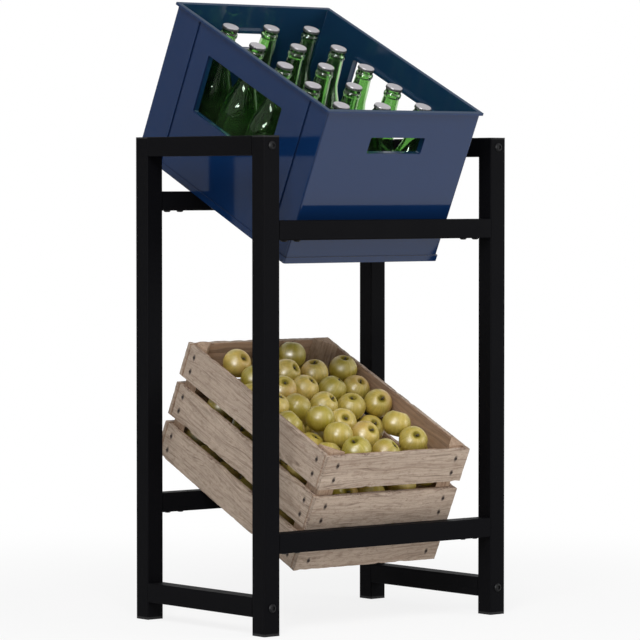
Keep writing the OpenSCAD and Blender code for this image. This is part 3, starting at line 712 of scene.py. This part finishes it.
def worn_point(point, size, offset, chip):
    """A plank's point moved inwards by wear: wavy rims, bitten and nicked edges, ragged ends, rough faces."""
    x, y, z = point
    length, thick, height = size
    to_end, to_face, to_rim = (min(value, side - value) for value, side in zip(point, size))
    far = x > length / 2
    behind = y > thick / 2
    above = z >= height / 2

    def rough(pace, *place):
        return noise.noise(Vector([step * value for step, value in zip(pace, place)]) + offset)

    wobble = RIM_WAVE * (1 + rough(RIM_PACE, x, above, 0)) * near(to_rim, height / 2)
    bite = max(0, rough(BITE_PACE, x, above, behind) - BITE_START) ** BITE_POWER * BITE_DEPTH * chip
    bite *= near(to_rim, BITE_REACH) * near(to_face, BITE_THROUGH)
    nick = max(0, rough(NICK_PACE, x, above, y)) * NICK_DEPTH * near(to_rim, NICK_REACH) * chip
    ragged = max(0, rough(RAGGED_PACE, z, far, y)) * RAGGED_DEPTH * near(to_end, RAGGED_REACH)
    relief = RELIEF_DEPTH * (1 + rough(RELIEF_PACE, x, y, z)) if to_face < RELIEF_REACH else 0
    touching = [gap < ON_SIDE for gap in (to_end, to_face, to_rim)]
    pull = CORNER_PULL if sum(touching) > 1 else 0
    x += inward(x, length) * (pull * touching[0] + ragged)
    y += inward(y, thick) * (pull * touching[1] + relief + bite * BITE_INWARDS)
    z += inward(z, height) * (pull * touching[2] + wobble + bite + nick)
    return x - length / 2, y, z - height / 2


def plank(length, thick, height, seed, chip=1.0):
    """A sawn board, X along it, Y from its outer face inwards, Z across it, worn only inside its sawn size.
    Returns vertices, faces and the values that its material reads."""
    size = (length, thick, height)
    verts, faces = block(*(steps(side, *cuts) for side, cuts in zip(size, PLANK_CUTS)))
    offset = Vector([seed * step for step in WEAR_STRIDE])
    edges = []
    for x, y, z in verts:
        to_end = min(x, length - x)
        to_rim = min(z, height - z)
        edges.append(near(min(to_rim, to_end * END_FACTOR), EDGE_WEAR))
    values = {
        "seed": [seed * SEED_SHARE % 1.0] * len(verts),
        "edge": edges,
        "inside": [1 if y > thick * INSIDE_FROM else 0 for x, y, z in verts],
    }
    return [worn_point(point, size, offset, chip) for point in verts], faces, values


# Bottle crate

def at_bottles(height):
    """Places of all bottles, at a height above their feet."""
    places = []
    for column in range(BOTTLE_COLUMNS):
        for row in range(BOTTLE_ROWS):
            x = (column - (BOTTLE_COLUMNS - 1) / 2) * COLUMN_PITCH
            y = CRATE_L / 2 + (row - (BOTTLE_ROWS - 1) / 2) * ROW_PITCH
            places.append(in_millimetres(UPPER @ at(x, y, BOTTLE_FLOOR + height)))
    return places


def bottle_line():
    """A bottle's outside from its foot to its mouth, then its inside back down to the foot."""
    body = 30.5
    neck = 14.5
    mouth = 12.3
    wall = 3.0
    foot_top = 6
    shoulder_low = 116
    shoulder_high = 178
    shoulder_steps = 24
    outside = [(0, 2.4), (10, 2.2), (19, 1.4), (24, 0.3), (26.2, 0), (28.2, 0.5), (29.6, 1.7), (30.3, 3.4)]
    outside += [(body, foot_top), (body, 40), (body, 80), (body, 110)]
    for step in range(1, shoulder_steps + 1):
        share = step / shoulder_steps
        radius = neck + (body - neck) * (1 + math.cos(math.pi * share)) / 2
        outside.append((radius, shoulder_low + (shoulder_high - shoulder_low) * share))
    inside = [(max(radius - wall, 0), height) for radius, height in outside if height >= foot_top]
    outside += [(13.9, 190), (13.1, 203), (12.6, 210), (12.5, 211.6), (12.9, 212.3), (13.6, 213.2)]
    outside += [(14.0, 214.6), (14.0, 217), (13.7, 218.6), (13.0, 219.6), (12.4, 220.2), (mouth, 221.4)]
    outside += [(mouth, 228.2), (11.9, 228.9), (11.2, BOTTLE_H), (10.4, BOTTLE_H)]
    inside += [(10.6, 190), (9.7, 203), (9.3, 212), (9.3, 228), (9.8, 228.9)]
    return outside + inside[::-1] + [(26.5, 7.4), (22, 5.6), (12, 5.9), (0, 6.2)]


piece("glass_bottles", *repeated(*lathe(bottle_line(), 48), at_bottles(0)),
      ["green_glass"], "bottle_crate_load", "green_glass", ["bottles"], sharp=60)

# A cap's section from the middle of its top, down its skirt and back inside: radius, height, depth of flutes
CAP_ROWS = [
    (0, 0.96, 0), (6, 0.98, 0), (11.3, 0.96, 0), (12.2, 0.8, 0), (12.7, 0.4, 0.02), (12.9, -0.3, 0.1),
    (13.0, -1.3, 0.22), (13.12, -2.4, 0.34), (13.2, -3.3, 0.38), (13.25, -3.9, 0.35), (13.05, -4.0, 0.33),
    (12.75, -3.8, 0.2), (12.55, -2.6, 0.05), (12.45, -1.2, 0), (12.4, -0.05, 0), (6, -0.02, 0), (0, -0.02, 0),
]
FLUTES = 21


def flute(number, angle):
    """How far a row of the section waves out at an angle."""
    return CAP_ROWS[number][2] * math.cos(FLUTES * angle)


cap_line = [(radius, height) for radius, height, _ in CAP_ROWS]
piece("crown_caps", *repeated(*lathe(cap_line, 6 * FLUTES, flute), at_bottles(BOTTLE_H)),
      ["cap_metal"], "bottle_crate_load", "cap_metal", ["bottle_caps"], sharp=24)


# Fruit crate

def face_frame(face):
    """From a face's own axes to the row frame: X along the slats, Y inwards from outside, Z up the crate."""
    half = FRUIT_L / 2 if face % 2 == 0 else FRUIT_W / 2
    turn = Matrix.Rotation(face * math.pi / 2, 4, "Z")
    return LOWER @ at(0, FRUIT_L / 2, 0) @ turn @ at(0, -half, 0)


for face, side in enumerate(("front", "right", "rear", "left")):
    across = face % 2 == 0
    for row, level in enumerate(SLAT_ROWS):
        seed = 1 + face * len(SLAT_ROWS) + row
        verts, faces, values = plank(FRUIT_W if across else HOLD_L, SLAT_T, SLAT_H, seed)
        middle = row * (SLAT_H + SLAT_GAP) + SLAT_H / 2
        piece("%s_plank_%s" % (side, level), verts, faces, ["end_slat_wood" if across else "side_slat_wood"],
              "fruit_crate_load", "slat_wood", ["%s_slat_%s" % (side, level)],
              face_frame(face) @ at(0, 0, middle), values)

POST_CUTS = 60
POST_EDGE = 0.6
POST_SEED = 20
# How much narrower than sawn a post is, as shares: all along, as that drifts, and more at its ends
POST_PLANED = 0.012
POST_DRIFT = 0.35
POST_CHAMFER = 0.03
POST_PACE = 0.1
CUT_PACE = 0.16
UPRIGHT = Matrix(((0, 0, -1, 0), (0, 1, 0, 0), (1, 0, 0, 0), (0, 0, 0, 1)))


def corner_post(x, y, seed):
    """A three-cornered post, its grain along X. The signs x and y tell which corner of the crate it fills."""
    height = FRUIT_H + POST_RISE - BOARD_T
    corner = [(0, -y * POST_BLUNT), (0, -y * POST_LEG), (-x * POST_LEG, 0), (-x * POST_BLUNT, 0)]
    verts = []
    for k in range(POST_CUTS + 1):
        chamfer = POST_CHAMFER if k in (0, POST_CUTS) else 0
        for px, py in corner:
            spot = Vector((px * POST_PACE, py * POST_PACE + seed, k * CUT_PACE))
            pull = 1 - POST_PLANED * (1 + POST_DRIFT * noise.noise(spot)) - chamfer
            verts.append((k * height / POST_CUTS, py * pull, -px * pull))
    values = {
        "seed": [seed * SEED_SHARE % 1.0] * len(verts),
        "edge": [POST_EDGE] * len(verts),
        "inside": [0.0] * len(verts),
    }
    return verts, tube_faces(0, len(corner), POST_CUTS + 1), values


for side, x in (("left", -1), ("right", 1)):
    for end, y in (("front", -1), ("rear", 1)):
        verts, faces, values = corner_post(x, y, POST_SEED + x + 2 * y)
        place = at(x * HOLD_W / 2, FRUIT_L / 2 + y * HOLD_L / 2, BOARD_T)
        piece("corner_post_%s_%s" % (end, side), verts, faces, ["post_wood"], "fruit_crate_load", "post_wood",
              ["post_%s_%s" % (end, side)], LOWER @ place @ UPRIGHT, values, sharp=25)

BOARD_SEED = 40
BOARD_CHIP = 0.7
LYING = Matrix(((0, 0, 1, 0), (1, 0, 0, 0), (0, 1, 0, 0), (0, 0, 0, 1)))

board_verts = []
board_faces = []
board_values = {"seed": [], "edge": [], "inside": []}
for number in range(BOARD_COUNT):
    verts, faces, values = plank(HOLD_L, BOARD_T, BOARD_W, BOARD_SEED + number, BOARD_CHIP)
    start = len(board_verts)
    middle = -HOLD_W / 2 + BOARD_W / 2 + number * (BOARD_W + BOARD_GAP)
    board_verts += [(x, y, z + middle) for x, y, z in verts]
    board_faces += [tuple(i + start for i in corners) for corners in faces]
    for key in board_values:
        board_values[key] += values[key]
piece("floor_boards", board_verts, board_faces, ["board_wood"], "fruit_crate_load", "board_wood",
      ["bottom_boards"], LOWER @ at(0, FRUIT_L / 2, 0) @ LYING, board_values)


# Apples, heaped by the same rule as in the part's source: each falls straight down onto what is under it

SCATTER_TURNS = (127.1, 311.7)
SCATTER_SHARE = 0.000268
APPLE_TILT = 38
APPLE_SCATTER = 5
HEAP_RISE = 20
HEAP_DROP = 6
EVEN_LAYERS = int(FRUIT_H // APPLE_R)
LATE_LAYERS = 10
APPLE_GROUPS = ("bottom", "second", "third", "fourth", "fifth", "top")


def scatter(i, k):
    """A number from -1 to 1 that looks random, for an apple and a use."""
    h = math.sin(math.radians(i * SCATTER_TURNS[0] + k * SCATTER_TURNS[1])) / SCATTER_SHARE
    return 2 * (h - math.floor(h)) - 1


def spread(number, count, odd, room):
    """One of several places across a room, shifted by half a place in odd layers."""
    return (number - (count - 1 - odd) / 2) * room / (count - 1)


def inside(value, half):
    """Keeps a place within half a room of its middle."""
    return min(max(value, -half), half)


def apple_spot(i, layer, column, row, columns, rows):
    """Where an apple is let fall: astray from its even place, inside the slats and clear of the posts."""
    odd = layer % 2
    stray = APPLE_SCATTER if layer < EVEN_LAYERS else APPLE_R
    room_x = HOLD_W - APPLE_REACH
    room_y = HOLD_L - APPLE_REACH
    x = inside(spread(column, columns, odd, room_x) + scatter(i, 1) * stray, room_x / 2)
    y = inside(spread(row, rows, odd, room_y) + scatter(i, 2) * stray, room_y / 2)
    to_post = (HOLD_W / 2 - abs(x) + HOLD_L / 2 - abs(y) - POST_LEG) / math.sqrt(2)
    push = max(0, APPLE_R + APPLE_GAP - to_post) / math.sqrt(2)
    return x - math.copysign(push, x), y - math.copysign(push, y)


def apple_height(x, y, placed):
    """How high an apple comes to lie on the boards, the cleats or the apples below it."""
    ledge = max(0, HOLD_L / 2 - CLEAT_W - abs(y))
    floor = CLEAT_H + math.sqrt(APPLE_R ** 2 - ledge ** 2) if ledge < APPLE_R else APPLE_R
    z = BOARD_T + max(APPLE_R, floor) + APPLE_GAP / 2
    for px, py, pz in placed:
        gap = math.hypot(x - px, y - py)
        if gap < APPLE_REACH:
            z = max(z, pz + math.sqrt(APPLE_REACH ** 2 - gap ** 2))
    return z


def apple_heap():
    """Where the apples lie in the crate's axes, in the order in which they fall."""
    columns = int(HOLD_W // APPLE_REACH)
    rows = int(HOLD_L // APPLE_REACH)
    placed = []
    for layer in range(EVEN_LAYERS + LATE_LAYERS):
        for column in range(columns - layer % 2):
            for row in range(rows - layer % 2):
                i = (layer * columns + column) * rows + row
                x, y = apple_spot(i, layer, column, row, columns, rows)
                z = apple_height(x, y, placed)
                if z + APPLE_R <= FRUIT_H + HEAP_RISE - HEAP_DROP * (y / HOLD_L + 0.5):
                    placed.append((x, y, z))
    return placed


APPLE_SEED = 1000
APPLE_SEGMENTS = 40
APPLE_RINGS = 26
APPLE_FILL = 0.995
# Hollows at the stem and at the eye: depth as a share of the radius, angle where it starts, and power
STEM_HOLLOW = (0.32, 60, 1.15)
EYE_HOLLOW = (0.20, 66, 1.2)
# Limits of what differs from apple to apple
SQUAT = (0.90, 0.97)
LOBE_DEPTH = (0.010, 0.030)
SKEW = (-0.02, 0.02)
BLUSH = (-0.5, 0.8)
SUN_SPREAD = (1, 1, 0.5)
STEM_LENGTH = (4.5, 7.0)
LOBES = 5
STEM_SIDES = 8
STEM_RINGS = 6
STEM_R = 1.5
STEM_SWELL = 0.3
STEM_SINK = 0.6
STEM_LEAN = 2.0
LEAVES = 5
# Rows of a leaf of the eye: reach, half width, height
LEAF_ROWS = ((0.4, 1.3, 0.5), (2.8, 1.1, -0.5), (4.4, 0.1, -1.9))
LEAF_T = 0.35
ANY_TURN = 6.28


def smooth(value, low, high):
    t = min(max((value - low) / (high - low), 0), 1)
    return t * t * (3 - 2 * t)


def hollow(angle, depth, start, power):
    return depth * smooth(angle, start, 90) ** power


def apple_line(squat):
    """Half an apple's section, from the hollow of its eye to the hollow of its stem."""
    line = []
    for k in range(APPLE_RINGS + 1):
        angle = -90 + 180 * k / APPLE_RINGS
        deep = hollow(angle, *STEM_HOLLOW) + hollow(-angle, *EYE_HOLLOW)
        r = APPLE_R * (1 - deep) * APPLE_FILL
        radius = r * math.cos(math.radians(angle)) if 0 < k < APPLE_RINGS else 0
        line.append((radius, r * math.sin(math.radians(angle)) * squat))
    return line


def stem_mesh(start, foot, bend, length):
    """A bent stem that thickens at its end. Its faces count from a first vertex."""
    verts = []
    for k in range(STEM_RINGS):
        share = k / (STEM_RINGS - 1)
        lean = STEM_LEAN * share ** 2
        radius = STEM_R - STEM_SWELL * math.sin(math.pi * share) + STEM_SWELL * share ** 3
        for s in range(STEM_SIDES):
            angle = 2 * math.pi * s / STEM_SIDES
            x = lean * math.cos(bend) + radius * math.cos(angle)
            y = lean * math.sin(bend) + radius * math.sin(angle)
            verts.append((x, y, foot - STEM_SINK + length * share))
    return verts, tube_faces(start, STEM_SIDES, STEM_RINGS)


def leaf_mesh(start, eye, angle):
    """One dry leaf of the eye, a thin plate in two stretches. Its faces count from a first vertex."""
    along = Vector((math.cos(angle), math.sin(angle), 0))
    aside = Vector((-math.sin(angle), math.cos(angle), 0))
    verts = []
    for reach, wide, drop in LEAF_ROWS:
        for sign in (-1, 1):
            for thick in (0, -LEAF_T):
                verts.append(tuple(along * reach + aside * wide * sign + Vector((0, 0, eye + drop + thick))))
    faces = [(start, start + 1, start + 3, start + 2), (start + 8, start + 10, start + 11, start + 9)]
    for k in (0, 4):
        a, b, c, d = (start + k + n for n in range(4))
        faces += [(a, c, c + 4, a + 4), (b, b + 4, d + 4, d), (a, a + 4, b + 4, b), (c, d, d + 4, c + 4)]
    return verts, faces


def apple_shape(chance):
    """One apple about its own axis: a body with two hollows and soft lobes, a bent stem and the leaves of
    its eye. Returns vertices, faces, which look each face has, and the values that the skin reads."""
    squat = chance.uniform(*SQUAT)
    lobe_depth = chance.uniform(*LOBE_DEPTH)
    turn = chance.uniform(0, ANY_TURN)
    skew = abs(chance.uniform(*SKEW))
    sunny = Vector([chance.gauss(0, spread) for spread in SUN_SPREAD]).normalized()
    amount = max(0, chance.uniform(*BLUSH))
    line = apple_line(squat)

    def wave(number, angle):
        """Lobes that are deepest near the eye, and one side that is a little flatter."""
        share = number / APPLE_RINGS
        low = math.sin(math.pi * share) * (1.25 - share)
        lobe = (math.cos(LOBES * (angle + turn)) - 1) * lobe_depth * low
        return APPLE_R * (lobe + (math.cos(angle + turn) - 1) * skew * 0.5)

    verts, faces = lathe(line, APPLE_SEGMENTS, wave)
    ways = [Vector(v).normalized() for v in verts]
    rounds = [max(math.hypot(v[0], v[1]), 0.001) for v in verts]
    marks = {
        "tone": [chance.random()] * len(verts),
        "blush": [amount * smooth(way.dot(sunny), -0.1, 0.9) for way in ways],
        "stem": [smooth(way.z, 0.90, 0.99) for way in ways],
        "east": [v[0] / r for v, r in zip(verts, rounds)],
        "north": [v[1] / r for v, r in zip(verts, rounds)],
    }
    skin_faces = len(faces)
    bend = chance.uniform(0, ANY_TURN)
    length = chance.uniform(*STEM_LENGTH)
    parts = [stem_mesh(len(verts), line[-1][1], bend, length)]
    for leaf in range(LEAVES):
        start = len(verts) + sum(len(part[0]) for part in parts)
        parts.append(leaf_mesh(start, line[0][1], turn + leaf * 2 * math.pi / LEAVES))
    for more_verts, more_faces in parts:
        verts += more_verts
        faces += more_faces
    kinds = [0] * skin_faces + [1] * (len(faces) - skin_faces)
    for numbers in marks.values():
        numbers += [0.0] * (len(verts) - len(numbers))
    return verts, faces, kinds, marks


def apple_turn(i, chance):
    """How an apple lies: tilted by the source's rule, and turned at random about its own axis."""
    sideways = Matrix.Rotation(math.radians(scatter(i, 4) * APPLE_TILT), 4, "Y")
    forwards = Matrix.Rotation(math.radians(scatter(i, 3) * APPLE_TILT), 4, "X")
    return sideways @ forwards @ Matrix.Rotation(chance.uniform(0, ANY_TURN), 4, "Z")


apple_spots = apple_heap()
for group, level in enumerate(APPLE_GROUPS):
    verts = []
    faces = []
    kinds = []
    values = {name: [] for name in ("tone", "blush", "stem", "east", "north")}
    for i, (x, y, z) in enumerate(apple_spots):
        if i * len(APPLE_GROUPS) // len(apple_spots) != group:
            continue
        chance = random.Random(APPLE_SEED + i)
        shape, sides, sorts, marks = apple_shape(chance)
        place = in_millimetres(LOWER @ at(x, y + FRUIT_L / 2, z)) @ apple_turn(i, chance)
        start = len(verts)
        verts += [tuple(place @ Vector(v)) for v in shape]
        faces += [tuple(n + start for n in corners) for corners in sides]
        kinds += sorts
        for key in values:
            values[key] += marks[key]
    piece("apple_heap_" + level, verts, faces, ["apple_skin", "apple_stem"], "fruit_crate_load", "apple_skin",
          ["apples_" + level], values=values, kinds=kinds, sharp=50)


# CAD nodes that stay as they are get the finish of their slot in the record

for subpart in frame["record"]["subparts"]:
    if subpart["node"] not in replaced_nodes:
        mesh = frame["nodes"][subpart["node"]].data
        mesh.materials.clear()
        mesh.materials.append(LOOKS[subpart["material_slot"]])


JOIN_GAP = 0.01
FLAT_ANGLE = 0.5
EDGE_ANGLE = 35
EDGE_STEPS = 3
CRATE_EDGE = 0.9


def soften(name, width):
    """Rounds the edges of a moulded CAD node where they show, and leaves its own mesh as it is."""
    node = frame["nodes"][name]
    join = node.modifiers.new("join", "WELD")
    join.merge_threshold = JOIN_GAP * MM
    flat = node.modifiers.new("flat", "DECIMATE")
    flat.decimate_type = "DISSOLVE"
    flat.angle_limit = math.radians(FLAT_ANGLE)
    edge = node.modifiers.new("edge", "BEVEL")
    edge.width = width * MM
    edge.segments = EDGE_STEPS
    edge.limit_method = "ANGLE"
    edge.angle_limit = math.radians(EDGE_ANGLE)
    edge.harden_normals = True


soften("bottle_crate", CRATE_EDGE)


# Stage and light, in metres

FLOOR_HALF = 9
FLOOR_SHADE = 0.9
SHADOW_NEAR = 0.45
SHADOW_FAR = 1.6
SHADOW_GLOW = 0.84
CARD_X = -2.6
CARD_FRONT = 1.2
CARD_REAR = 4.8
CARD_H = 3
CARD_SHADE = 0.75
WORLD_LIGHT = 0.4
WHITE = (1, 1, 1, 1)


def seen_rays(tree):
    """One for the rays that show the background: the camera's, and those from shiny or clear surfaces."""
    path = tree.nodes.new("ShaderNodeLightPath")
    share = path.outputs["Is Camera Ray"]
    for name in ("Is Glossy Ray", "Is Transmission Ray"):
        either = tree.nodes.new("ShaderNodeMath")
        either.operation = "MAXIMUM"
        tree.links.new(share, either.inputs[0])
        tree.links.new(path.outputs[name], either.inputs[1])
        share = either.outputs[0]
    return share


def blended(tree, share, lit, seen, output):
    """Shows one shader to light and another, by a share, to the rays that see the background."""
    blend = tree.nodes.new("ShaderNodeMixShader")
    tree.links.new(share, blend.inputs[0])
    tree.links.new(lit.outputs[0], blend.inputs[1])
    tree.links.new(seen.outputs[0], blend.inputs[2])
    tree.links.new(blend.outputs[0], tree.nodes[output].inputs[0])


def floor_look():
    """Matt paint that takes the shadow near the object and turns to plain white away from it."""
    m = Look("studio_floor")
    m.set("Base Color", (FLOOR_SHADE, FLOOR_SHADE, FLOOR_SHADE))
    m.set("Roughness", 0.9)
    m.set("Specular IOR Level", 0)
    glow = m.add("ShaderNodeEmission")
    glow.inputs["Color"].default_value = WHITE
    distance = m.add("ShaderNodeVectorMath", operation="LENGTH")
    m.feed(distance.inputs[0], m.place())
    fade = m.fit(distance.outputs["Value"], SHADOW_NEAR, SHADOW_FAR, SHADOW_GLOW, 1)
    blended(m.tree, m.times(seen_rays(m.tree), fade), m.shader, glow, "Material Output")
    return m.material


def card_look():
    m = Look("grey_card")
    m.set("Base Color", (CARD_SHADE, CARD_SHADE, CARD_SHADE))
    m.set("Roughness", 1)
    return m.material


def stage_sheet(name, corners, material):
    mesh = bpy.data.meshes.new(name)
    mesh.from_pydata(corners, [], [(0, 1, 2, 3)])
    mesh.materials.append(material)
    return link(bpy.data.objects.new(name, mesh))


floor_corners = [(sx * FLOOR_HALF, sy * FLOOR_HALF, 0) for sx, sy in ((-1, -1), (1, -1), (1, 1), (-1, 1))]
floor = stage_sheet("studio_floor", floor_corners, floor_look())

# A grey card outside the picture, for what the crate's left wall reflects
card_sides = ((CARD_FRONT, 0), (CARD_REAR, 0), (CARD_REAR, CARD_H), (CARD_FRONT, CARD_H))
card_corners = [(CARD_X, y, z) for y, z in card_sides]
card = stage_sheet("grey_card", card_corners, card_look())
card.visible_camera = False

world = bpy.data.worlds.new("studio")
bpy.context.scene.world = world
world.use_nodes = True
soft = world.node_tree.nodes["Background"]
soft.inputs["Color"].default_value = WHITE
soft.inputs["Strength"].default_value = WORLD_LIGHT
seen = world.node_tree.nodes.new("ShaderNodeBackground")
seen.inputs["Color"].default_value = WHITE
seen.inputs["Strength"].default_value = 1
blended(world.node_tree, seen_rays(world.node_tree), soft, seen, "World Output")


def soft_lamp(name, place, aim, wide, high, power, shine_only=False):
    """A flat lamp. One that is for shine only shows as a highlight and adds no other light."""
    lamp = bpy.data.lights.new(name, "AREA")
    lamp.shape = "RECTANGLE"
    lamp.size = wide
    lamp.size_y = high
    lamp.energy = power
    obj = link(bpy.data.objects.new(name, lamp))
    obj.location = place
    obj.rotation_euler = (Vector(aim) - Vector(place)).to_track_quat("-Z", "Y").to_euler()
    obj.visible_diffuse = not shine_only
    obj.visible_transmission = not shine_only


soft_lamp("key_lamp", place=(-1.9, -2.0, 2.6), aim=(0, 0, 0.4), wide=1.5, high=1.5, power=72)
soft_lamp("fill_lamp", place=(2.2, -2.6, 1.0), aim=(0, 0, 0.5), wide=1.6, high=1.6, power=29)
soft_lamp("shine_lamp", place=(-2.9, -1.7, 0.95), aim=(0, 0, 0.7), wide=1.3, high=0.45, power=110,
          shine_only=True)


# Camera at the photograph's angle, fitted to the stand's edges

CAMERA_PLACE = (-3.69871, -4.51368, 0.67792)
CAMERA_PITCH = 87.8996
CAMERA_TURN = -39.4992
CAMERA_LENS = 209.057
SENSOR_WIDTH = 36
CLIP_END = 100

camera_data = bpy.data.cameras.new("photo_camera")
camera_data.sensor_width = SENSOR_WIDTH
camera_data.lens = CAMERA_LENS
camera_data.clip_end = CLIP_END
camera = link(bpy.data.objects.new("photo_camera", camera_data))
camera.location = CAMERA_PLACE
camera.rotation_euler = (math.radians(CAMERA_PITCH), 0, math.radians(CAMERA_TURN))
bpy.context.scene.camera = camera
bpy.context.scene.view_settings.view_transform = "Standard"
